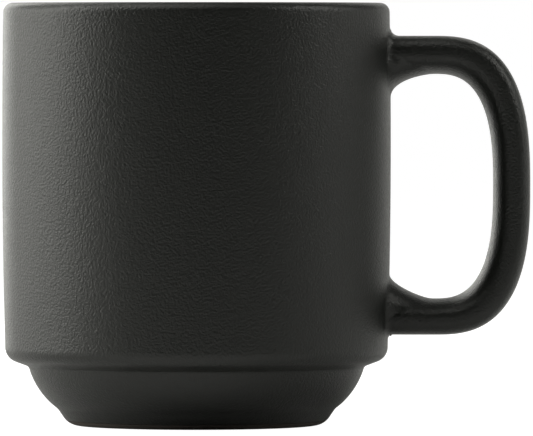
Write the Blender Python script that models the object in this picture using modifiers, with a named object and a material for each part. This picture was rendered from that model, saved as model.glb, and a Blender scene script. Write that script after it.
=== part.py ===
"""A stoneware stacking mug: a turned cup on a small stepped foot, with a D-shaped handle on its side.

Metres, +Z up. The origin is the centre of the dry base, and the handle points along +X.
Every coat of glaze is its own closed skin, a fit gap away from the clay that it covers.
"""

import math

import bmesh
import bpy

# Overall sizes of the glazed mug
MUG_HEIGHT = 0.0923
BODY_RADIUS = 0.0425  # outside, at the belly
BELLY_DROP = 0.030  # from the rim down to the widest ring
BARREL_RADIUS = 1.548  # radius of the slight bulge, seen from the side
WALL = 0.0042  # clay and both glaze coats together
LIP_HEIGHT = 0.0021  # height of the rounded lip
FLOOR = 0.006
INNER_CORNER = 0.021  # radius between the inside wall and the floor

# The stepped base, from the barrel's lower corner down to the table
LOWER_CORNER = 0.0033
LEDGE_SLOPE = math.radians(20.5)
STEP_HEIGHT = 0.0129  # inner corner of the ledge above the table
STEP_FILLET = 0.0012
STACKING_CLEARANCE = 0.0013  # between the step and the rim of the mug under it
BOWL_WIDTH = 0.0064  # how far the bowl draws in from the step to the foot
BOWL_RADIUS = 0.0172
FOOT_HEIGHT = 0.0036
FOOT_TAPER = 0.0025
FOOT_EDGE = 0.004  # rounding between the foot and the dry base

# The handle: two squarish half-ovals about one centre, and two straight limbs to the cup
HANDLE_DROP = 0.0072  # from the rim down to the top of the upper limb
HANDLE_RISE = 0.0069  # from the step up to the underside of the lower limb
HANDLE_REACH = 0.03042  # from the belly out to the grip's outer face
HANDLE_BEND = 0.0096  # from the belly out to where the limbs start to bend
GRIP_HEIGHT = 0.0325  # from the lower limb's underside up to the handle's outermost point
UPPER_LIMB = 0.00835
GRIP = 0.0081
LOWER_LIMB = 0.0079
HANDLE_WIDTH = 0.016
HANDLE_SQUARENESS = 2.7  # exponent of the bend: 2 is an ellipse
OUTER_SQUARENESS = 3.3  # exponent of the section's outer side
FINGER_SQUARENESS = 2.0  # and of its finger side, which is rounder
FLARE_LENGTH = 0.0095  # how far from the cup the limbs start to thicken on the finger side
FLARE_HEIGHT = 0.0052
CROWN_FLARE = 0.0020  # fillet over the upper limb
HEEL_FLARE = 0.0010  # fillet under the lower limb
SIDE_FLARE = 0.0002

# Coats and joints
GLAZE = 0.0004
GAP = 0.0003  # left between pieces that touch
SLIP = 0.0007  # thickness of the slip between a limb and the cup
DRY_EDGE = 0.0012  # height of the bare clay above the table
ROOT_DEPTH = 0.0035  # how far the handle's cutters reach into the wall

# Smoothness
ROUND_STEPS = 48
LIP_POINTS = 5  # from the crown down one side of the lip
WALL_POINTS = 5
SEAT_POINTS = 4  # up a surface that only backs another
CORNER_POINTS = 5
FILLET_POINTS = 3
BOWL_POINTS = 8
FOOT_POINTS = 4
SECTION_SIDES = 16
BEND_STATIONS = 17
LIMB_STATIONS = 6
LIMB_CROWDING = 1.7  # above 1, the stations crowd towards the cup, where the fillets are

CLAY_INSET = GLAZE + GAP
BELLY_HEIGHT = MUG_HEIGHT - BELLY_DROP
LIP_START = MUG_HEIGHT - LIP_HEIGHT


def barrel_radius(z, offset=0.0):
    """Outer radius of the bulging wall at a height; offset is outwards."""
    bulge = BARREL_RADIUS - math.sqrt(BARREL_RADIUS**2 - (z - BELLY_HEIGHT) ** 2)
    return BODY_RADIUS - bulge + offset


RIM_RADIUS = barrel_radius(LIP_START)
STEP_RADIUS = RIM_RADIUS - WALL - STACKING_CLEARANCE
FOOT_TOP_RADIUS = STEP_RADIUS - BOWL_WIDTH
FOOT_RADIUS = FOOT_TOP_RADIUS - FOOT_TAPER


def arc(centre, radii, start, end, count):
    """Points on an ellipse between two angles in degrees; radii are along r and z."""
    angles = [math.radians(start + (end - start) * i / (count - 1)) for i in range(count)]
    return [(centre[0] + radii[0] * math.cos(a), centre[1] + radii[1] * math.sin(a)) for a in angles]


def bulging_arc(start, end, radius, count):
    """Points on the arc from start to end that bulges away from the axis as it runs down."""
    chord = math.dist(start, end)
    along = ((end[0] - start[0]) / chord, (end[1] - start[1]) / chord)
    depth = math.sqrt(radius**2 - (chord / 2) ** 2)
    middle = ((start[0] + end[0]) / 2, (start[1] + end[1]) / 2)
    centre = (middle[0] + along[1] * depth, middle[1] - along[0] * depth)
    first = math.degrees(math.atan2(start[1] - centre[1], start[0] - centre[0]))
    last = math.degrees(math.atan2(end[1] - centre[1], end[0] - centre[0]))
    return arc(centre, (radius, radius), first, last, count)


def rounded(before, corner, after, radius, count):
    """The corner of an outline replaced by an arc that touches both its sides."""
    sides = []
    for point in (before, after):
        length = math.dist(point, corner)
        sides.append(((point[0] - corner[0]) / length, (point[1] - corner[1]) / length))
    half = math.acos(sides[0][0] * sides[1][0] + sides[0][1] * sides[1][1]) / 2
    middle = (sides[0][0] + sides[1][0], sides[0][1] + sides[1][1])
    away = radius / math.sin(half) / math.hypot(*middle)
    centre = (corner[0] + middle[0] * away, corner[1] + middle[1] * away)
    reach = radius / math.tan(half)
    ends = [(corner[0] + side[0] * reach, corner[1] + side[1] * reach) for side in sides]
    angles = [math.degrees(math.atan2(e[1] - centre[1], e[0] - centre[0])) for e in ends]
    if angles[1] - angles[0] > 180:
        angles[1] -= 360
    if angles[0] - angles[1] > 180:
        angles[1] += 360
    return arc(centre, (radius, radius), angles[0], angles[1], count)


def barrel(top, bottom, count, offset=0.0):
    """Points down the bulging wall."""
    heights = [top + (bottom - top) * i / (count - 1) for i in range(count)]
    return [(barrel_radius(z, offset), z) for z in heights]


def outside():
    """The glazed outline from the crown of the lip down to the edge of the dry base."""
    ledge_rise = math.tan(LEDGE_SLOPE)
    wall_foot = barrel_radius(STEP_HEIGHT + LOWER_CORNER)
    ledge_corner = (wall_foot, STEP_HEIGHT + (wall_foot - STEP_RADIUS) * ledge_rise)
    step = (STEP_RADIUS, STEP_HEIGHT)
    foot_top = (FOOT_TOP_RADIUS, FOOT_HEIGHT)
    foot = (FOOT_RADIUS, 0.0)
    lip = arc((RIM_RADIUS - WALL / 2, LIP_START), (WALL / 2, LIP_HEIGHT), 90, 0, LIP_POINTS)
    above = (barrel_radius(ledge_corner[1] + LOWER_CORNER), ledge_corner[1] + LOWER_CORNER)
    corner = rounded(above, ledge_corner, step, LOWER_CORNER, CORNER_POINTS)
    wall = barrel(LIP_START, corner[0][1], WALL_POINTS)
    bowl = bulging_arc(step, foot_top, BOWL_RADIUS, BOWL_POINTS)
    neck = rounded(ledge_corner, step, bowl[1], STEP_FILLET, FILLET_POINTS)
    edge = rounded(foot_top, foot, (0.0, 0.0), FOOT_EDGE, FOOT_POINTS)
    return lip + wall[1:-1] + corner + neck + bowl[1:] + edge


def inside():
    """The glazed outline from the middle of the floor up to the crown of the lip."""
    wall_top = RIM_RADIUS - WALL
    corner_height = FLOOR + INNER_CORNER
    wall_foot = barrel_radius(corner_height) - WALL
    corner_centre = (wall_foot - INNER_CORNER, corner_height)
    corner = arc(corner_centre, (INNER_CORNER, INNER_CORNER), -90, 0, BOWL_POINTS)
    wall = [(r, z) for r, z in reversed(barrel(LIP_START, corner_height, SEAT_POINTS, -WALL))]
    lip = arc((wall_top + WALL / 2, LIP_START), (WALL / 2, LIP_HEIGHT), 180, 90, LIP_POINTS)
    return [(0.0, FLOOR)] + corner + wall[1:-1] + lip


def into_clay(outline, depth):
    """An outline moved sideways by depth, to the right of its own direction."""
    moved = []
    for i, (r, z) in enumerate(outline):
        before = outline[max(i - 1, 0)]
        after = outline[min(i + 1, len(outline) - 1)]
        scale = depth / math.dist(before, after)
        moved.append((r + scale * (after[1] - before[1]), z - scale * (after[0] - before[0])))
    if outline[0][0] == 0.0:
        moved[0] = (0.0, moved[0][1])
    return moved


def above_height(outline, height):
    """The part of a falling outline that lies above a height, ending exactly on it."""
    kept = [outline[0]]
    for upper, lower in zip(outline, outline[1:]):
        if lower[1] < height:
            share = (upper[1] - height) / (upper[1] - lower[1])
            return kept + [(upper[0] + (lower[0] - upper[0]) * share, height)]
        kept.append(lower)
    return kept


def short_of_crown(outline, limit):
    """A lip's outline pulled back from the crown by half a gap, so that the two coats don't touch."""
    crown = RIM_RADIUS - WALL / 2
    stop = limit(crown - GAP / 2, crown + GAP / 2)
    return [(limit(r, stop), z) if z > LIP_START else (r, z) for r, z in outline]


def make_material(name, colour, roughness, metallic=0.0):
    material = bpy.data.materials.new(name)
    material.use_nodes = True
    shader = material.node_tree.nodes["Principled BSDF"]
    shader.inputs["Base Color"].default_value = (*colour, 1.0)
    shader.inputs["Roughness"].default_value = roughness
    shader.inputs["Metallic"].default_value = metallic
    return material


def add_object(name, mesh, material, collection):
    obj = bpy.data.objects.new(name, mesh)
    collection.objects.link(obj)
    if material is None:
        obj.hide_render = True
        obj.display_type = "WIRE"
    else:
        mesh.materials.append(material)
    return obj


def turned(name, outline, material, collection, closed=False):
    """A solid turned from an outline in the XZ plane that runs down its outer side."""
    mesh = bpy.data.meshes.new(name)
    edges = [(i, i + 1) for i in range(len(outline) - 1)]
    if closed:
        edges.append((len(outline) - 1, 0))
    mesh.from_pydata([(r, 0.0, z) for r, z in outline], edges, [])
    obj = add_object(name, mesh, material, collection)
    screw = obj.modifiers.new("turn", "SCREW")
    screw.axis = "Z"
    screw.steps = ROUND_STEPS
    screw.render_steps = ROUND_STEPS
    screw.use_merge_vertices = True
    screw.merge_threshold = 0.000001
    screw.use_smooth_shade = True
    return obj


def squarish(angle, half_length, half_height, squareness):
    """A point on a superellipse."""
    c, s = math.cos(angle), math.sin(angle)
    return (
        half_length * math.copysign(abs(c) ** (2 / squareness), c),
        half_height * math.copysign(abs(s) ** (2 / squareness), s),
    )


def flare(x, length):
    """How far a fillet has risen, from 0 at its start to 1 at the cup's side."""
    share = min(max((BODY_RADIUS + length - x) / length, 0.0), 1.0)
    return 1 - math.sqrt(1 - share**2)


def handle_stations(depth):
    """Outer and inner point of each section, from inside the wall at the top round to the bottom."""
    bottom = STEP_HEIGHT + HANDLE_RISE
    middle = bottom + GRIP_HEIGHT
    top = MUG_HEIGHT - HANDLE_DROP
    bend = BODY_RADIUS + HANDLE_BEND
    reach = HANDLE_REACH - HANDLE_BEND
    stations = []
    for upper in (True, False):
        outer_z = top if upper else bottom
        inner_z = top - UPPER_LIMB if upper else bottom + LOWER_LIMB
        fillet = CROWN_FLARE if upper else HEEL_FLARE
        sign = 1 if upper else -1
        limb = []
        places = [BODY_RADIUS - depth]
        for i in range(LIMB_STATIONS):
            places.append(BODY_RADIUS + HANDLE_BEND * (i / LIMB_STATIONS) ** LIMB_CROWDING)
        for x in places:
            outer_swell = sign * fillet * flare(x, fillet)
            inner_swell = sign * FLARE_HEIGHT * flare(x, FLARE_LENGTH)
            limb.append(((x, outer_z + outer_swell), (x, inner_z - inner_swell)))
        bends = []
        for i in range((BEND_STATIONS + 1) // 2):
            angle = math.pi / 2 * (1 - 2 * i / (BEND_STATIONS - 1))
            outer = squarish(angle, reach, outer_z - middle, HANDLE_SQUARENESS)
            inner = squarish(angle, reach - GRIP, inner_z - middle, HANDLE_SQUARENESS)
            bends.append(((bend + outer[0], middle + outer[1]), (bend + inner[0], middle + inner[1])))
        half = limb + bends
        stations += half if upper else reversed(half[:-1])
    return stations


def handle_sweep(name, inset, depth, material, collection):
    """A loft through the handle's sections, ovals whose flats lie on the outer and inner points."""
    mesh = bpy.data.meshes.new(name)
    loft = bmesh.new()
    rings = []
    for outer, inner in handle_stations(depth):
        thickness = math.dist(outer, inner)
        across = ((outer[0] - inner[0]) / thickness, (outer[1] - inner[1]) / thickness)
        centre = ((outer[0] + inner[0]) / 2, (outer[1] + inner[1]) / 2)
        half_width = HANDLE_WIDTH / 2 + SIDE_FLARE * flare(centre[0], FLARE_LENGTH)
        ring = []
        for i in range(SECTION_SIDES):
            angle = 2 * math.pi * (i + 0.5) / SECTION_SIDES
            squareness = OUTER_SQUARENESS if math.cos(angle) > 0 else FINGER_SQUARENESS
            flat = math.cos(math.pi / SECTION_SIDES) ** (2 / squareness)
            half = (thickness / 2 - inset) / flat, (half_width - inset) / flat
            out, side = squarish(angle, *half, squareness)
            ring.append(loft.verts.new((centre[0] + across[0] * out, side, centre[1] + across[1] * out)))
        rings.append(ring)
    for first, second in zip(rings, rings[1:]):
        for i in range(SECTION_SIDES):
            j = (i + 1) % SECTION_SIDES
            loft.faces.new((first[i], first[j], second[j], second[i]))
    loft.faces.new(rings[0])
    loft.faces.new(rings[-1])
    bmesh.ops.recalc_face_normals(loft, faces=loft.faces)
    loft.to_mesh(mesh)
    loft.free()
    mesh.shade_smooth()
    return add_object(name, mesh, material, collection)


def combine(obj, other, operation):
    boolean = obj.modifiers.new(operation.lower(), "BOOLEAN")
    boolean.operation = operation
    boolean.solver = "EXACT"
    boolean.object = other


def barrel_ring(name, inner, outer, bottom, top, collection):
    """A ring that follows the wall between two offsets from the glazed outside."""
    outline = barrel(top, bottom, SEAT_POINTS, outer) + barrel(bottom, top, SEAT_POINTS, inner)
    return turned(name, outline, None, collection, closed=True)


def barrel_core(name, offset, bottom, top, collection):
    """A solid that fills the barrel out to an offset from the glazed outside."""
    outline = [(0.0, top)] + barrel(top, bottom, SEAT_POINTS, offset) + [(0.0, bottom)]
    return turned(name, outline, None, collection)


def make_cup_body(parts, clay):
    shoulder = DRY_EDGE - GAP
    coated = above_height(into_clay(outside(), CLAY_INSET), shoulder)
    bare = [above_height(outside(), shoulder)[-1]]
    bare += [point for point in outside() if point[1] < shoulder]
    outline = into_clay(inside(), CLAY_INSET)[:-1] + coated + bare + [(0.0, 0.0)]
    turned("cup_body", outline, clay, parts)


def make_coats(parts, matte, liner, hole):
    outer = short_of_crown(above_height(outside(), DRY_EDGE), max)
    back = short_of_crown(above_height(into_clay(outside(), GLAZE), DRY_EDGE), max)
    skin = turned("outer_glaze", outer + back[::-1], matte, parts, closed=True)
    combine(skin, hole, "DIFFERENCE")
    front = short_of_crown(inside(), min)
    rear = short_of_crown(into_clay(inside(), GLAZE), min)
    turned("liner_glaze", front + rear[::-1], liner, parts)


def make_handle(parts, cutters, clay, slip, matte):
    low, high = 0.0, MUG_HEIGHT + WALL
    clay_shape = handle_sweep("handle", CLAY_INSET, ROOT_DEPTH, clay, parts)
    combine(clay_shape, barrel_core("handle_seat", SLIP, low, high, cutters), "DIFFERENCE")

    coat = handle_sweep("handle_glaze", 0.0, ROOT_DEPTH, matte, parts)
    hollow = handle_sweep("handle_hollow", GLAZE, ROOT_DEPTH + WALL, None, cutters)
    combine(coat, hollow, "DIFFERENCE")
    combine(coat, barrel_core("coat_seat", GAP, low, high, cutters), "DIFFERENCE")

    middle = STEP_HEIGHT + HANDLE_RISE + GRIP_HEIGHT
    inner, outer = GAP - CLAY_INSET, GAP - CLAY_INSET + SLIP
    for name, bottom, top in (("upper", middle, high), ("lower", low, middle)):
        pad = handle_sweep(f"{name}_slip_joint", CLAY_INSET, ROOT_DEPTH, slip, parts)
        ring = barrel_ring(f"{name}_slip_space", inner, outer, bottom, top, cutters)
        combine(pad, ring, "INTERSECT")
    return hollow


def main():
    for old in list(bpy.data.objects):
        bpy.data.objects.remove(old, do_unlink=True)
    parts = bpy.data.collections.new("stoneware_mug")
    cutters = bpy.data.collections.new("cutters")
    for collection in (parts, cutters):
        bpy.context.scene.collection.children.link(collection)

    clay = make_material("body_stoneware", (0.045, 0.040, 0.036), 0.85)
    handle_clay = make_material("handle_stoneware", (0.050, 0.044, 0.040), 0.85)
    slip = make_material("joining_slip", (0.060, 0.052, 0.046), 0.9)
    matte = make_material("matte_black_glaze", (0.014, 0.014, 0.013), 0.5)
    liner = make_material("satin_liner_glaze", (0.012, 0.012, 0.012), 0.3)

    make_cup_body(parts, clay)
    hollow = make_handle(parts, cutters, handle_clay, slip, matte)
    make_coats(parts, matte, liner, hollow)


main()
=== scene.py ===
# %% [markdown]
# # A matte black stacking mug
# This lesson builds the looks of a stoneware mug round its CAD model. The model gives the frame: every
# piece is made in metres where the CAD says it is, and nothing is fitted afterwards. A mug like this is
# a clay cup and a clay handle under coats of glaze, so the pieces here are those coats and the little
# clay that stays bare.

# %% Load the frame
import math

import bpy
import numpy as np
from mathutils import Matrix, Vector


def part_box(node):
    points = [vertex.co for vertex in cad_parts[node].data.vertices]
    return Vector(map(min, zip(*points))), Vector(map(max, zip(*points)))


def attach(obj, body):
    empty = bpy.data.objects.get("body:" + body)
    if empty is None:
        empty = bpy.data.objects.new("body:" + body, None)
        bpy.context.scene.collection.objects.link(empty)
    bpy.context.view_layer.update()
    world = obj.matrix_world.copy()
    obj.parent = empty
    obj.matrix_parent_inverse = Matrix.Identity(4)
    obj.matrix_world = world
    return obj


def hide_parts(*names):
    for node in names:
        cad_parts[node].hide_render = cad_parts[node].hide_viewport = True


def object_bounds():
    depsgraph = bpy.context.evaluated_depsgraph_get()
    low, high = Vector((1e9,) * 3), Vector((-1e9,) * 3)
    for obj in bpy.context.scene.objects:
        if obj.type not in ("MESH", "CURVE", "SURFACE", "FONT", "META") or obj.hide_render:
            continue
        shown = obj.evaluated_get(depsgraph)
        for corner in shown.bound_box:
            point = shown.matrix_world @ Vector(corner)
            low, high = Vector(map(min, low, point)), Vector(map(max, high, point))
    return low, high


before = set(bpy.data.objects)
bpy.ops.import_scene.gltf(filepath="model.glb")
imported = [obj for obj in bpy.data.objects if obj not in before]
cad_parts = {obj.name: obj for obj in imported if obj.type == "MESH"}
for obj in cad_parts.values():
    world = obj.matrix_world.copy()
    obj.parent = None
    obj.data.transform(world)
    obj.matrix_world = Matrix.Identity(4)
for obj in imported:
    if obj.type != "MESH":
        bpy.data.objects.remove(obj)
cad_low, cad_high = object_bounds()
print("CAD box, mm:", [round(1000 * side, 1) for side in cad_high - cad_low])

# %% [markdown]
# ## Sizes
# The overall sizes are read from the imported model. The rest are the potter's sizes: the wall, the
# ledge on which the mug stacks, the foot, and the section of the handle. `MM` keeps them readable.

# %% Sizes of the cup
MM = 0.001
coat_low, coat_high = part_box("outer_glaze")
RIM_HEIGHT = coat_high.z
BELLY_RADIUS = (coat_high.x - coat_low.x) / 2
BELLY_DROP = 30 * MM
BELLY_HEIGHT = RIM_HEIGHT - BELLY_DROP
DRY_EDGE = coat_low.z
BARREL_RADIUS = 1548 * MM  # of the slight bulge, seen from the side
WALL = 4.2 * MM
LIP = WALL / 2
LIP_START = RIM_HEIGHT - LIP
FLOOR = 6 * MM
INNER_CORNER = 21 * MM  # between the inside wall and the floor
LOWER_CORNER = 3.3 * MM
LEDGE_SLOPE = math.radians(20.5)
STEP_HEIGHT = 12.9 * MM  # of the ledge's inner corner
STEP_FILLET = 1.2 * MM
STACKING_CLEARANCE = 1.3 * MM  # between the step and the rim of the mug below
BOWL_WIDTH = 6.4 * MM  # how far the bowl draws in
BOWL_RADIUS = 17.2 * MM
FOOT_HEIGHT = 3.6 * MM
FOOT_TAPER = 2.5 * MM
FOOT_EDGE = 4 * MM  # rounding between the foot and the dry base
GLAZE = 0.35 * MM
print(f"cup {2000 * BELLY_RADIUS:.1f} mm across and {1000 * RIM_HEIGHT:.1f} mm tall")

# %% [markdown]
# ## The cup's outline
# The cup is turned, so one outline makes it. Each stretch is what a potter's rib or a mould leaves:
# a wall with a slight bulge, a rounded corner, a sloping ledge, a bowl that draws in, and a small foot
# with a soft edge. Arcs and corners are computed, so the outline follows when a size changes.


# %% Helpers for outlines
def barrel_radius(z):
    """Outer radius of the wall at a height."""
    return BELLY_RADIUS - BARREL_RADIUS + np.sqrt(BARREL_RADIUS**2 - (z - BELLY_HEIGHT) ** 2)


def arc(centre, radius, start, end, count):
    """Points along a circular arc, between two angles in radians."""
    angles = np.linspace(start, end, count)
    return [(centre[0] + radius * math.cos(a), centre[1] + radius * math.sin(a)) for a in angles]


def bulging_arc(start, end, radius, count):
    """An arc that bulges away from the axis as it runs down from start to end."""
    start, end = np.array(start), np.array(end)
    along = end - start
    depth = math.sqrt(radius**2 - along @ along / 4)
    centre = (start + end) / 2 + depth * np.array([along[1], -along[0]]) / np.linalg.norm(along)
    first, last = (math.atan2(p[1] - centre[1], p[0] - centre[0]) for p in (start, end))
    return arc(centre, radius, first, last, count)


def rounded(before, corner, after, radius, count):
    """The corner of an outline, replaced by an arc that touches both its sides."""
    corner = np.array(corner)
    sides = [(np.array(p) - corner) / math.dist(p, corner) for p in (before, after)]
    half = math.acos(sides[0] @ sides[1]) / 2
    middle = (sides[0] + sides[1]) / np.linalg.norm(sides[0] + sides[1])
    centre = corner + middle * radius / math.sin(half)
    first, last = (math.atan2(*reversed(corner + s * radius / math.tan(half) - centre)) for s in sides)
    turn = (last - first + math.pi) % (2 * math.pi) - math.pi
    return arc(centre, radius, first, first + turn, count)


def offset(outline, depth):
    """The outline moved to its right, which is into the clay when it runs down the outside."""
    points = np.array(outline)
    along = np.gradient(points, axis=0)
    along /= np.linalg.norm(along, axis=1)[:, None]
    moved = points + depth * np.column_stack([along[:, 1], -along[:, 0]])
    moved[points[:, 0] == 0, 0] = 0
    return [tuple(p) for p in moved]


# %% The outside and the inside
WALL_POINTS, INNER_WALL_POINTS = 44, 30
LIP_POINTS = 14  # from the crown down one side of the lip
CORNER_POINTS, INNER_CORNER_POINTS = 16, 28
NECK_POINTS = 12
BOWL_POINTS = 30
ANKLE_POINTS = 8
FOOT_POINTS = 14
FLOOR_POINTS = 6
NECK_CUT, ANKLE_CUT = 3, 4  # points of the bowl that its two rounded ends take away


def glazed_outside():
    """From the crown of the lip down the outside to the foot."""
    wall_foot = barrel_radius(STEP_HEIGHT + LOWER_CORNER)
    ledge_corner = (wall_foot, STEP_HEIGHT + (wall_foot - STEP_RADIUS) * math.tan(LEDGE_SLOPE))
    step = (STEP_RADIUS, STEP_HEIGHT)
    foot_top = (STEP_RADIUS - BOWL_WIDTH, FOOT_HEIGHT)
    foot = (foot_top[0] - FOOT_TAPER, 0.0)
    over = (barrel_radius(ledge_corner[1] + LOWER_CORNER), ledge_corner[1] + LOWER_CORNER)
    corner = rounded(over, ledge_corner, step, LOWER_CORNER, CORNER_POINTS)
    wall = [(barrel_radius(z), z) for z in np.linspace(LIP_START, corner[0][1], WALL_POINTS)]
    bowl = bulging_arc(step, foot_top, BOWL_RADIUS, BOWL_POINTS)
    neck = rounded(ledge_corner, step, bowl[NECK_CUT], STEP_FILLET, NECK_POINTS)
    ankle = rounded(bowl[-ANKLE_CUT], foot_top, foot, FOOT_EDGE / 2, ANKLE_POINTS)
    edge = rounded(foot_top, foot, (0.0, 0.0), FOOT_EDGE, FOOT_POINTS)
    lip = arc((RIM_RADIUS - LIP, LIP_START), LIP, math.pi / 2, 0, LIP_POINTS)
    return lip + wall[1:-1] + corner + neck + bowl[NECK_CUT:-ANKLE_CUT] + ankle + edge


def glazed_inside():
    """From the middle of the floor up to the crown of the lip."""
    corner_height = FLOOR + INNER_CORNER
    corner_axis = barrel_radius(corner_height) - WALL - INNER_CORNER
    floor = [(r, FLOOR) for r in np.linspace(0, corner_axis, FLOOR_POINTS)[:-1]]
    corner = arc((corner_axis, corner_height), INNER_CORNER, -math.pi / 2, 0, INNER_CORNER_POINTS)
    heights = np.linspace(corner_height, LIP_START, INNER_WALL_POINTS)
    wall = [(barrel_radius(z) - WALL, z) for z in heights]
    lip = arc((RIM_RADIUS - LIP, LIP_START), LIP, math.pi, math.pi / 2, LIP_POINTS)
    return floor + corner + wall[1:-1] + lip


RIM_RADIUS = barrel_radius(LIP_START)
STEP_RADIUS = RIM_RADIUS - WALL - STACKING_CLEARANCE
outside, inside = glazed_outside(), glazed_inside()
print(f"outline: {len(outside)} points outside and {len(inside)} inside")
print(f"radius of the step: {1000 * STEP_RADIUS:.1f} mm")

# %% [markdown]
# ## Turning an outline with Geometry Nodes
# A turned piece is a rule and not a shape: take an outline, carry it once round the axis. Three ways
# would do it here: the Screw modifier, a spin in bmesh, or Geometry Nodes. Nodes are chosen because one
# tree then turns every coat and the clay as well, each with its own outline, steps and material.
#
# *Curve to Mesh* carries the outline along a circle so small that it is only a direction. The outline's
# X is then the radius, and its Y is measured downwards. *Merge by Distance* closes the seam and poles.


# %% The turning tree
SPINDLE = 0.001 * MM  # radius of the circle that an outline is carried along
WELD = 0.004 * MM  # points closer than this become one
STEPS = 256  # round the cup


def add(tree, kind, links=(), inputs=(), **settings):
    """Adds a node, sets its properties and inputs, and links sockets into it by input name."""
    node = tree.nodes.new(kind)
    for name, value in settings.items():
        setattr(node, name, value)
    for name, value in dict(inputs).items():
        node.inputs[name].default_value = value
    for name, socket in dict(links).items():
        tree.links.new(socket, node.inputs[name])
    return node


def turning_tree():
    """Outline in, turned piece out."""
    tree = bpy.data.node_groups.new("turn_outline", "GeometryNodeTree")
    for name, kind, way in (
        ("Outline", "NodeSocketGeometry", "INPUT"),
        ("Steps", "NodeSocketInt", "INPUT"),
        ("Weld", "NodeSocketFloat", "INPUT"),
        ("Finish", "NodeSocketMaterial", "INPUT"),
        ("Piece", "NodeSocketGeometry", "OUTPUT"),
    ):
        tree.interface.new_socket(name, in_out=way, socket_type=kind)
    given = add(tree, "NodeGroupInput")
    outline = add(tree, "GeometryNodeMeshToCurve", {"Mesh": given.outputs["Outline"]})
    circle = add(
        tree,
        "GeometryNodeCurvePrimitiveCircle",
        {"Resolution": given.outputs["Steps"]},
        {"Radius": SPINDLE},
    )
    upright = add(tree, "GeometryNodeSetCurveNormal", {"Curve": circle.outputs["Curve"]}, mode="Z_UP")
    wall = add(
        tree,
        "GeometryNodeCurveToMesh",
        {"Curve": upright.outputs["Curve"], "Profile Curve": outline.outputs["Curve"]},
    )
    closed = add(
        tree,
        "GeometryNodeMergeByDistance",
        {"Geometry": wall.outputs["Mesh"], "Distance": given.outputs["Weld"]},
    )
    smooth = add(tree, "GeometryNodeSetShadeSmooth", {"Geometry": closed.outputs["Geometry"]})
    real = add(tree, "GeometryNodeRealizeInstances", {"Geometry": smooth.outputs["Geometry"]})
    finish = add(
        tree,
        "GeometryNodeSetMaterial",
        {"Geometry": real.outputs["Geometry"], "Material": given.outputs["Finish"]},
    )
    result = add(tree, "NodeGroupOutput")
    tree.links.new(finish.outputs["Geometry"], result.inputs["Piece"])
    return tree


TURN = turning_tree()
print(f"turning tree: {len(TURN.nodes)} nodes")


def turned(name, outline, finish, closed_loop):
    """A plain mesh object turned from an outline in metres that runs down its outer side."""
    count = len(outline)
    edges = [(i, i + 1) for i in range(count - 1)] + ([(count - 1, 0)] if closed_loop else [])
    drawn = bpy.data.meshes.new(f"{name}_outline")
    drawn.from_pydata([(r, -z, 0) for r, z in outline], edges, [])
    piece = bpy.data.objects.new(name, drawn)
    bpy.context.scene.collection.objects.link(piece)
    modifier = piece.modifiers.new("turn", "NODES")
    modifier.node_group = TURN
    wanted = {"Steps": STEPS, "Weld": WELD, "Finish": finish}
    for item in TURN.interface.items_tree:
        if item.in_out == "INPUT" and item.name in wanted:
            modifier[item.identifier] = wanted[item.name]
    graph = bpy.context.evaluated_depsgraph_get()
    piece.data = bpy.data.meshes.new_from_object(piece.evaluated_get(graph))
    piece.data.name = name
    piece.modifiers.clear()
    print(f"{name}: {len(piece.data.polygons)} faces")
    return piece


# %% [markdown]
# ## Colours
# Colours are written as sRGB hex values, as a maker would pick them from a swatch, and one function
# turns them into the linear values that the shader wants, by the two parts of the sRGB curve.


# %% Colour helpers
def linear(hex_colour):
    """The linear RGBA of an sRGB hex colour such as #201f1d."""
    parts = [int(hex_colour[i : i + 2], 16) / 255 for i in (1, 3, 5)]
    return (*(c / 12.92 if c <= 0.04045 else ((c + 0.055) / 1.055) ** 2.4 for c in parts), 1.0)


def new_material(name):
    """A node material with its shader, and the tree to add to."""
    material = bpy.data.materials.new(name)
    material.use_nodes = True
    tree = material.node_tree
    return material, tree, tree.nodes["Principled BSDF"]


# %% [markdown]
# ## The matte black glaze
# The outside is dipped in a matte glaze: an iron and manganese black whose surface froze into crystals
# too small to see. What the eye gets from that is a broad, soft highlight, and, where the light grazes,
# a fine sandy grain about 0.5 mm from bump to bump. Under the grain the coat is a little uneven, as a
# dipped coat is. A painted texture could carry the grain, but it would show seams on a turned cup.
# Noise read in Object coordinates has none, and it runs on from the cup to the handle.


# %% Matte black glaze
GRAIN = 0.5 * MM  # from one sandy bump to the next
GRAIN_HEIGHT = 0.18 * MM  # for the full range of the noise, which mostly keeps to its middle third
MOTTLE = 7 * MM  # size of the patches where the coat is thicker or thinner


def matte_black_glaze():
    """Black glaze with a fine sandy relief, slightly uneven in colour and gloss."""
    material, tree, shader = new_material("matte_black_stoneware_glaze")
    place = add(tree, "ShaderNodeTexCoord").outputs["Object"]
    grain = add(
        tree,
        "ShaderNodeTexNoise",
        {"Vector": place},
        {"Scale": 1 / GRAIN, "Detail": 2.0, "Roughness": 0.55},
    )
    mottle = add(
        tree,
        "ShaderNodeTexNoise",
        {"Vector": place},
        {"Scale": 1 / MOTTLE, "Detail": 3.0, "Roughness": 0.6},
    )
    colour = add(tree, "ShaderNodeMix", {"Factor": mottle.outputs["Fac"]}, data_type="RGBA")
    colour.inputs[6].default_value = linear("#111311")
    colour.inputs[7].default_value = linear("#171915")
    gloss = add(
        tree,
        "ShaderNodeMapRange",
        {"Value": grain.outputs["Fac"]},
        {"From Min": 0.3, "From Max": 0.7, "To Min": 0.34, "To Max": 0.44},
    )
    relief = add(
        tree,
        "ShaderNodeBump",
        {"Height": grain.outputs["Fac"]},
        {"Strength": 1.0, "Distance": GRAIN_HEIGHT},
    )
    for name, socket in (
        ("Base Color", colour.outputs[2]),
        ("Roughness", gloss.outputs["Result"]),
        ("Normal", relief.outputs["Normal"]),
    ):
        tree.links.new(socket, shader.inputs[name])
    return material


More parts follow.
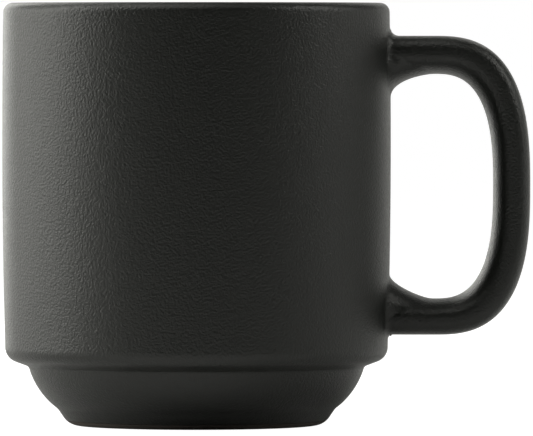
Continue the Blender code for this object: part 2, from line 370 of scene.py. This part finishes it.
GLAZE_FINISH = matte_black_glaze()
print(f"{GLAZE_FINISH.name}: grain {1000 * GRAIN:.2f} mm")

# %% [markdown]
# ## The coats on the cup
# A coat is a thin closed skin: its outline runs down the glazed face and back up 0.35 mm inside it. A
# Solidify modifier could give the thickness too, but a closed outline also closes the coat's two edges.
# The outer coat goes over the lip. It stops just above the table, where the potter wiped the foot so
# that the mug doesn't weld itself to the kiln shelf.


# %% Outer coat
def above(outline, height):
    """The part of a falling outline above a height, ending exactly on it."""
    points = np.array(outline)
    last = int(np.argmax(points[:, 1] < height))
    share = (points[last - 1, 1] - height) / (points[last - 1, 1] - points[last, 1])
    end = points[last - 1] + share * (points[last] - points[last - 1])
    return [tuple(p) for p in points[:last]] + [tuple(end)]


over_lip = [p for p in inside if p[1] > LIP_START]
glazed_face = above(over_lip + outside[1:], DRY_EDGE)
skin = glazed_face + offset(glazed_face, GLAZE)[::-1]
outer_coat = turned("outer_glaze_coat", skin, GLAZE_FINISH, closed_loop=True)

# %% [markdown]
# ## The liner
# Inside, a mug is lined with a smoother glaze that washes clean. Here it is the same black, fired to a
# satin: the crystals are finer, so it shines more and shows hardly any grain. It runs up the wall to
# the lip, where the outer coat laps over from outside.


# %% Satin liner
RIPPLE = 4 * MM  # from one soft wave of the liner to the next
RIPPLE_HEIGHT = 0.05 * MM


def satin_liner_glaze():
    """The same black, smoother and a little glossier."""
    material, tree, shader = new_material("satin_black_liner_glaze")
    place = add(tree, "ShaderNodeTexCoord").outputs["Object"]
    ripple = add(
        tree,
        "ShaderNodeTexNoise",
        {"Vector": place},
        {"Scale": 1 / RIPPLE, "Detail": 4.0, "Roughness": 0.5},
    )
    colour = add(tree, "ShaderNodeMix", {"Factor": ripple.outputs["Fac"]}, data_type="RGBA")
    colour.inputs[6].default_value = linear("#171716")
    colour.inputs[7].default_value = linear("#1f1f1d")
    gloss = add(
        tree,
        "ShaderNodeMapRange",
        {"Value": ripple.outputs["Fac"]},
        {"From Min": 0.3, "From Max": 0.7, "To Min": 0.24, "To Max": 0.32},
    )
    relief = add(
        tree,
        "ShaderNodeBump",
        {"Height": ripple.outputs["Fac"]},
        {"Strength": 0.3, "Distance": RIPPLE_HEIGHT},
    )
    for name, socket in (
        ("Base Color", colour.outputs[2]),
        ("Roughness", gloss.outputs["Result"]),
        ("Normal", relief.outputs["Normal"]),
    ):
        tree.links.new(socket, shader.inputs[name])
    return material


up_to_lip = [p for p in inside if p[1] <= LIP_START]
liner_skin = offset(up_to_lip, GLAZE)[::-1] + up_to_lip
liner_coat = turned("liner_glaze_coat", liner_skin, satin_liner_glaze(), closed_loop=False)

# %% [markdown]
# ## The clay
# Under the coats is stoneware, thrown or cast in one piece with its wall, floor and base. It shows only
# under the foot, as a dry disc and the wiped edge round it. Fired stoneware is dull and a bit gritty,
# with small dark specks of coarser clay, called grog. Voronoi cells place the specks, because their
# centres are scattered but never crowd.


# %% Stoneware cup
GRIT = 0.4 * MM
GRIT_HEIGHT = 0.05 * MM
GROG = 1.6 * MM  # from one speck to the next


def fired_stoneware(name, light, dark):
    """Dull, gritty clay of one colour, with specks of a darker one."""
    material, tree, shader = new_material(name)
    place = add(tree, "ShaderNodeTexCoord").outputs["Object"]
    grit = add(
        tree,
        "ShaderNodeTexNoise",
        {"Vector": place},
        {"Scale": 1 / GRIT, "Detail": 3.0, "Roughness": 0.6},
    )
    grog = add(
        tree,
        "ShaderNodeTexVoronoi",
        {"Vector": place},
        {"Scale": 1 / GROG, "Randomness": 1.0},
    )
    speck = add(
        tree,
        "ShaderNodeMapRange",
        {"Value": grog.outputs["Distance"]},
        {"From Min": 0.1, "From Max": 0.2, "To Min": 0.0, "To Max": 1.0},
    )
    colour = add(tree, "ShaderNodeMix", {"Factor": speck.outputs["Result"]}, data_type="RGBA")
    colour.inputs[6].default_value = linear(dark)
    colour.inputs[7].default_value = linear(light)
    relief = add(
        tree,
        "ShaderNodeBump",
        {"Height": grit.outputs["Fac"]},
        {"Strength": 0.6, "Distance": GRIT_HEIGHT},
    )
    tree.links.new(colour.outputs[2], shader.inputs["Base Color"])
    tree.links.new(relief.outputs["Normal"], shader.inputs["Normal"])
    shader.inputs["Roughness"].default_value = 0.88
    return material


INSET = 0.45 * MM  # clay below the glazed surface: the coat, and a hair's breadth
SHOULDER = DRY_EDGE - 0.1 * MM  # where the clay comes out from under the coat
bare = [p for p in outside if p[1] < SHOULDER]
under_coats = offset(inside, INSET)[:-1] + above(offset(outside, INSET), SHOULDER)
wiped_edge = [above(outside, SHOULDER)[-1]] + bare
clay = fired_stoneware("fired_stoneware", "#4a443f", "#34302c")
cup_outline = under_coats + wiped_edge + [(0.0, 0.0)]
cup = turned("stoneware_cup", cup_outline, clay, closed_loop=False)

# %% [markdown]
# ## The handle's rails
# The handle is a D: two straight limbs leave the cup level and meet in a bend that is squarer than half
# an ellipse. That family of curves is the superellipse, |x|^n + |z|^n = 1, and n = 2.7 here. One rail
# runs along the outside of the handle and one along the finger side, both about the same centre.


# %% Rails
HANDLE_DROP = 7.2 * MM  # from the rim down to the upper limb
HANDLE_RISE = 6.9 * MM  # from the ledge up to the lower limb
GRIP_HEIGHT = 32.5 * MM  # from the lower limb's underside up to the outermost point
LIMB_LENGTH = 9.6 * MM  # from the belly out to where the limbs start to bend
HANDLE_TOP = RIM_HEIGHT - HANDLE_DROP
HANDLE_BOTTOM = STEP_HEIGHT + HANDLE_RISE
HANDLE_MIDDLE = HANDLE_BOTTOM + GRIP_HEIGHT
BEND_START = BELLY_RADIUS + LIMB_LENGTH
REACH = cad_high.x - BEND_START
UPPER_LIMB, GRIP, LOWER_LIMB = 8.35 * MM, 8.1 * MM, 7.9 * MM
BEND_SQUARENESS = 2.7
BEND_STATIONS = 130  # sections round the bend
FINE_RAIL = 2000  # points on a rail before it is shared out evenly


def superellipse(angle, half_length, half_height, squareness):
    """Places (out, up) on a squarish ellipse, for angles that start at its outermost point."""
    c, s = np.cos(angle), np.sin(angle)
    x = half_length * np.sign(c) * np.abs(c) ** (2 / squareness)
    z = half_height * np.sign(s) * np.abs(s) ** (2 / squareness)
    return np.stack([x, z], axis=-1)


def evenly(points, count, guide=None):
    """Points resampled at even steps along a guide, which is the points themselves if none is given."""
    guide = points if guide is None else guide
    run = np.concatenate([[0], np.cumsum(np.linalg.norm(np.diff(guide, axis=0), axis=1))])
    places = np.linspace(0, run[-1], count)
    return np.column_stack([np.interp(places, run, column) for column in points.T])


def bend_rails(count):
    """Outer and finger-side points of each section round the bend, from the top down."""
    angle = np.linspace(math.pi / 2, -math.pi / 2, FINE_RAIL)
    up = angle > 0
    outer_height = np.where(up, HANDLE_TOP - HANDLE_MIDDLE, HANDLE_MIDDLE - HANDLE_BOTTOM)
    inner_height = outer_height - np.where(up, UPPER_LIMB, LOWER_LIMB)
    outer = superellipse(angle, REACH, outer_height, BEND_SQUARENESS)
    inner = superellipse(angle, REACH - GRIP, inner_height, BEND_SQUARENESS)
    both = evenly(np.hstack([outer, inner]), count, guide=(outer + inner) / 2)
    return both[:, :2] + (BEND_START, HANDLE_MIDDLE), both[:, 2:] + (BEND_START, HANDLE_MIDDLE)


outer_rail, inner_rail = bend_rails(BEND_STATIONS)
tall, reach = 1000 * (HANDLE_TOP - HANDLE_BOTTOM), 1000 * outer_rail[:, 0].max()
print(f"handle {tall:.1f} mm tall, reaches {reach:.1f} mm")

# %% [markdown]
# ## The handle's section and its roots
# The section is twice as wide across the fingers as it is thick. It is an oval where the fingers lie
# and squarer outside. Where a limb meets the cup, the potter smooths slip into the corner, so the limb
# swells into a fillet: long and deep on the finger side, small above and on the flanks. A Boolean
# union with a bevelled seam could do it, but a bevel keeps one size all round. Here each point of the
# section gets its own fillet curve, a Bezier curve that leaves the limb along it and arrives flat on
# the cup. Past that point a skirt slides just under the cup's surface, so the join has no crease.


# %% Section
HANDLE_WIDTH = 16 * MM
OUTER_SQUARENESS = 3.3
FINGER_SQUARENESS = 2.0
SECTION_POINTS = 96
FINE_QUARTER = 1500  # points on a quarter of the section before they are shared out evenly


def section_outline():
    """Unit section: places (out, side) and outline normals, evenly spaced round the loop."""
    thick, wide = GRIP / 2, HANDLE_WIDTH / 2
    outer = superellipse(np.linspace(0, math.pi / 2, FINE_QUARTER), thick, wide, OUTER_SQUARENESS)
    finger = superellipse(np.linspace(math.pi / 2, 0, FINE_QUARTER), thick, wide, FINGER_SQUARENESS)
    half = np.vstack([outer, finger[1:] * (-1, 1)])
    loop = evenly(np.vstack([half, half[-2::-1] * (1, -1)]), SECTION_POINTS + 1)
    slope = np.gradient(np.vstack([loop[-2], loop, loop[1]]), axis=0)[1:-2]
    normal = np.column_stack([slope[:, 1], -slope[:, 0]])
    return loop[:-1] / (thick, wide), normal / np.linalg.norm(normal, axis=1)[:, None]


UNIT, NORMAL = section_outline()
print(f"section: {len(UNIT)} points, {1000 * HANDLE_WIDTH:.0f} mm wide")


def ring(outer, inner):
    """The section's points in space between an outer and a finger-side rail point."""
    middle, half = (outer + inner) / 2, (outer - inner) / 2
    flat = middle + UNIT[:, :1] * half
    return np.column_stack([flat[:, 0], UNIT[:, 1] * HANDLE_WIDTH / 2, flat[:, 1]])


# %% Roots
QUARTER = 4 / 3 * (math.sqrt(2) - 1)  # Bezier handles that draw a quarter of an ellipse
# Each fillet: its lengths along the limb and the cup, then its Bezier handles as shares of them
UPPER_FINGER_FILLET = (9.6 * MM, 5.1 * MM, 0.25, 0.71)
LOWER_FINGER_FILLET = (9.6 * MM, 5.3 * MM, 0.25, 0.40)
CROWN_FILLET = (2.0 * MM, 2.1 * MM, QUARTER, QUARTER)
HEEL_FILLET = (1.0 * MM, 1.0 * MM, QUARTER, QUARTER)
SIDE_FILLET = (1.6 * MM, 1.6 * MM, QUARTER, QUARTER)
SKIRT = ((0.0, 0.004), (0.75, -0.01), (1.5, -0.04))  # beyond the fillet, and above the cup, in mm
FILLET_ROWS, LIMB_ROWS = 24, 5


def on_cup(y, z, lift=0.0):
    """The place on the cup's wall, on the handle's side, at each y and z."""
    radius = barrel_radius(z) + lift
    return np.column_stack([np.sqrt(radius**2 - y**2), y, z])


def root_rows(outer_z, inner_z, outer_fillet, finger_fillet):
    """Rows of points from the skirt, up the fillet and along the limb, stopping short of the bend."""
    up = np.sign(outer_z - inner_z)
    end = ring(np.array([BEND_START, outer_z]), np.array([BEND_START, inner_z]))
    finger = np.clip(-NORMAL[:, 0], 0, 1) ** 2
    crown = np.clip(NORMAL[:, 0], 0, 1) ** 2
    shares = np.column_stack([finger, crown, 1 - finger - crown])
    along, down, limb_handle, cup_handle = (shares @ (finger_fillet, outer_fillet, SIDE_FILLET)).T
    away = np.column_stack([NORMAL[:, 1], NORMAL[:, 0] * up])
    wall = on_cup(end[:, 1], end[:, 2])
    rows = []
    for beyond, lift in SKIRT[::-1]:
        place = end[:, 1:] + away * (down + beyond * MM)[:, None]
        rows.append(on_cup(place[:, 0], place[:, 1], lift * MM))
    foot = rows[-1]
    start = wall + np.column_stack([along, 0 * along, 0 * along])
    near_foot = foot + cup_handle[:, None] * (wall - foot)
    near_start = start + limb_handle[:, None] * (wall - start)
    for t in np.linspace(0, 1, FILLET_ROWS + 1)[1:]:
        rows.append(
            (1 - t) ** 3 * foot
            + 3 * (1 - t) ** 2 * t * near_foot
            + 3 * (1 - t) * t**2 * near_start
            + t**3 * start
        )
    for t in np.linspace(0, 1, LIMB_ROWS + 2)[1:-1]:
        rows.append(start + t * (end - start))
    return rows


def handle_rows():
    """All rows, from the cup along the upper limb, round the bend and back along the lower limb."""
    upper = root_rows(HANDLE_TOP, HANDLE_TOP - UPPER_LIMB, CROWN_FILLET, UPPER_FINGER_FILLET)
    lower = root_rows(HANDLE_BOTTOM, HANDLE_BOTTOM + LOWER_LIMB, HEEL_FILLET, LOWER_FINGER_FILLET)
    bend = [ring(outer, inner) for outer, inner in zip(outer_rail, inner_rail)]
    return np.array(upper + bend + lower[::-1])


rows = handle_rows()
print(f"handle grid: {rows.shape[0]} rows of {rows.shape[1]} points")

# %% [markdown]
# ## The coat on the handle
# The grid is the outside of the coat. Its inside is the same grid moved in along the normals, and two
# bands of faces close the skin at the ends, inside the cup's own coat.


# %% Handle coat
def handle_coat(rows, finish):
    """The closed skin between the grid and the grid moved in by the coat's thickness."""
    lengthwise = np.gradient(rows, axis=0)
    around = np.roll(rows, -1, axis=1) - np.roll(rows, 1, axis=1)
    normals = np.cross(lengthwise, around)
    normals /= np.linalg.norm(normals, axis=2)[:, :, None]
    skirt = len(SKIRT) - 1
    lining = (rows - GLAZE * normals)[skirt:-skirt][::-1]
    grid = np.concatenate([rows, lining])
    count, points = grid.shape[:2]
    mesh = bpy.data.meshes.new("handle_glaze_coat")
    faces = []
    for i in range(count):
        for j in range(points):
            k, m = (j + 1) % points, (i + 1) % count
            faces.append((i * points + j, i * points + k, m * points + k, m * points + j))
    mesh.from_pydata(grid.reshape(-1, 3).tolist(), [], faces)
    mesh.materials.append(finish)
    mesh.shade_smooth()
    piece = bpy.data.objects.new("handle_glaze_coat", mesh)
    bpy.context.scene.collection.objects.link(piece)
    print(f"{piece.name}: {len(faces)} faces")
    return piece


handle = handle_coat(rows, GLAZE_FINISH)

# %% [markdown]
# ## Hidden clay
# The handle's clay and the two slip joints stay as the CAD made them, sealed under the coats. They get
# the dry clay finish, the slip a little paler because it is finer.

# %% Clay of the handle and the joints
slip = fired_stoneware("fired_slip", "#57504a", "#413c37")
for node, finish in (("handle", clay), ("upper_slip_joint", slip), ("lower_slip_joint", slip)):
    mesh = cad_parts[node].data
    mesh.materials.clear()
    mesh.materials.append(finish)
    print(f"{node}: {finish.name}")

# %% [markdown]
# ## What stands for what
# The mug is one rigid body, so every piece rides on the root.

# %% Frame calls
for piece, node, slot in (
    (cup, "cup_body", "body_stoneware"),
    (outer_coat, "outer_glaze", "matte_black_glaze"),
    (liner_coat, "liner_glaze", "satin_liner_glaze"),
    (handle, "handle_glaze", "matte_black_glaze"),
):
    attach(piece, "root")
    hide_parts(node)
    print(f"{piece.name} stands for {node}")

# %% [markdown]
# ## Studio
# A dark glossy thing is lit by what it reflects, so the softboxes are placed by where they show in the
# glaze. Angles go round the mug from the camera: negative is to the left, and 180 is straight behind.
# Brightness is that of the softbox's face, which is the power over pi times its area.


# %% Lights
CENTRE = Vector((0.0, 0.0, RIM_HEIGHT / 2))
SOFTBOX_DISTANCE = 0.9
LIGHT_COLOUR = linear("#fffff9")[:3]
SOFTBOXES = (
    # name, angle round, angle up, width, height, brightness
    ("left_softbox", -93, 22, 0.58, 0.96, 4.2),
    ("left_rear_panel", -128, 8, 0.6, 0.32, 2.0),
    ("rear_left_softbox", -159, 18, 0.22, 0.8, 4.2),
    ("right_softbox", 85, 34, 0.38, 0.52, 4.0),
    ("right_rear_panel", 120, 8, 1.26, 0.32, 0.5),
    ("rear_right_softbox", 160, 24, 0.22, 0.88, 1.0),
    ("rear_panel", 180, 14, 0.4, 0.5, 0.9),
    ("overhead_panel", -60, 68, 1.0, 0.8, 1.5),
)


def softbox(name, round_angle, up_angle, width, height, brightness):
    """A rectangular light that faces the middle of the mug and is itself unseen by the camera."""
    light = bpy.data.lights.new(name, "AREA")
    light.shape = "RECTANGLE"
    light.size, light.size_y = width, height
    light.energy = brightness * math.pi * width * height
    light.color = LIGHT_COLOUR
    a, e = math.radians(round_angle), math.radians(up_angle)
    away = Vector((math.sin(a) * math.cos(e), -math.cos(a) * math.cos(e), math.sin(e)))
    lamp = bpy.data.objects.new(name, light)
    lamp.location = CENTRE + SOFTBOX_DISTANCE * away
    lamp.rotation_euler = away.to_track_quat("Z", "Y").to_euler()
    lamp.visible_camera = False
    bpy.context.scene.collection.objects.link(lamp)


for row in SOFTBOXES:
    softbox(*row)
print(f"{len(SOFTBOXES)} softboxes")

# %% [markdown]
# ## Floor
# The floor is two sheets. One is white and seen only by the camera. The other is what the mug sees:
# pale felt that takes the mug's shadow, so that the foot darkens towards the floor. The world is white
# to the camera alone, so all the light on the mug comes from the softboxes and the felt.


# %% Floor and world
SHOWN_HALF, FELT_HALF = 30.0, 1.2  # half the width of each sheet, in metres
SHOWN_HEIGHT, FELT_HEIGHT = -0.05 * MM, -0.1 * MM


def sheet(name, half, height, material):
    """A square of floor, which belongs to the studio and not to the mug."""
    mesh = bpy.data.meshes.new(name)
    corners = ((-half, -half), (half, -half), (half, half), (-half, half))
    mesh.from_pydata([(x, y, height) for x, y in corners], [], [(0, 1, 2, 3)])
    mesh.materials.append(material)
    floor = bpy.data.objects.new(name, mesh)
    bpy.context.scene.collection.objects.link(floor)
    return floor


def floor_material(name, colour, glow):
    """A fully matte colour, with white light added where the floor has to glow."""
    material, tree, shader = new_material(name)
    shader.inputs["Base Color"].default_value = linear(colour)
    shader.inputs["Roughness"].default_value = 1.0
    shader.inputs["Specular IOR Level"].default_value = 0.0
    shader.inputs["Emission Color"].default_value = (1, 1, 1, 1)
    shader.inputs["Emission Strength"].default_value = glow
    return material


shown = sheet("floor_shown", SHOWN_HALF, SHOWN_HEIGHT, floor_material("pale_floor", "#8c8c8c", 1.0))
shown.visible_diffuse = shown.visible_glossy = shown.visible_shadow = False
felt = sheet("floor_felt", FELT_HALF, FELT_HEIGHT, floor_material("pale_felt", "#eeeeee", 0.0))
felt.visible_camera = False

world = bpy.data.worlds.new("studio_white")
world.use_nodes = True
world.node_tree.nodes["Background"].inputs["Color"].default_value = (1, 1, 1, 1)
world.cycles_visibility.diffuse = False
world.cycles_visibility.glossy = False
bpy.context.scene.world = world
bpy.context.scene.view_settings.view_transform = "Standard"
print("floor:", shown.name, felt.name)

# %% [markdown]
# ## Camera
# A long lens, two metres away and just below the height of the rim, so the mug is seen nearly level and
# neither the inside nor the underside shows.

# %% Camera
CAMERA_DISTANCE = 2.0
CAMERA_HEIGHT = 84 * MM
VIEW_WIDTH = 116.5 * MM  # width of the view at the mug's axis
AIM = Vector((15.3 * MM, 0.0, 45.27 * MM))  # near the middle of the mug with its handle
lens = bpy.data.cameras.new("long_lens")
lens.sensor_width = 36.0  # millimetres, as is the lens
lens.lens = lens.sensor_width * CAMERA_DISTANCE / VIEW_WIDTH
lens.clip_end = 100.0
camera = bpy.data.objects.new("camera", lens)
camera.location = (AIM.x, -CAMERA_DISTANCE, CAMERA_HEIGHT)
camera.rotation_euler = (camera.location - AIM).to_track_quat("Z", "Y").to_euler()
bpy.context.scene.collection.objects.link(camera)
bpy.context.scene.camera = camera
print(f"lens {lens.lens:.0f} mm")
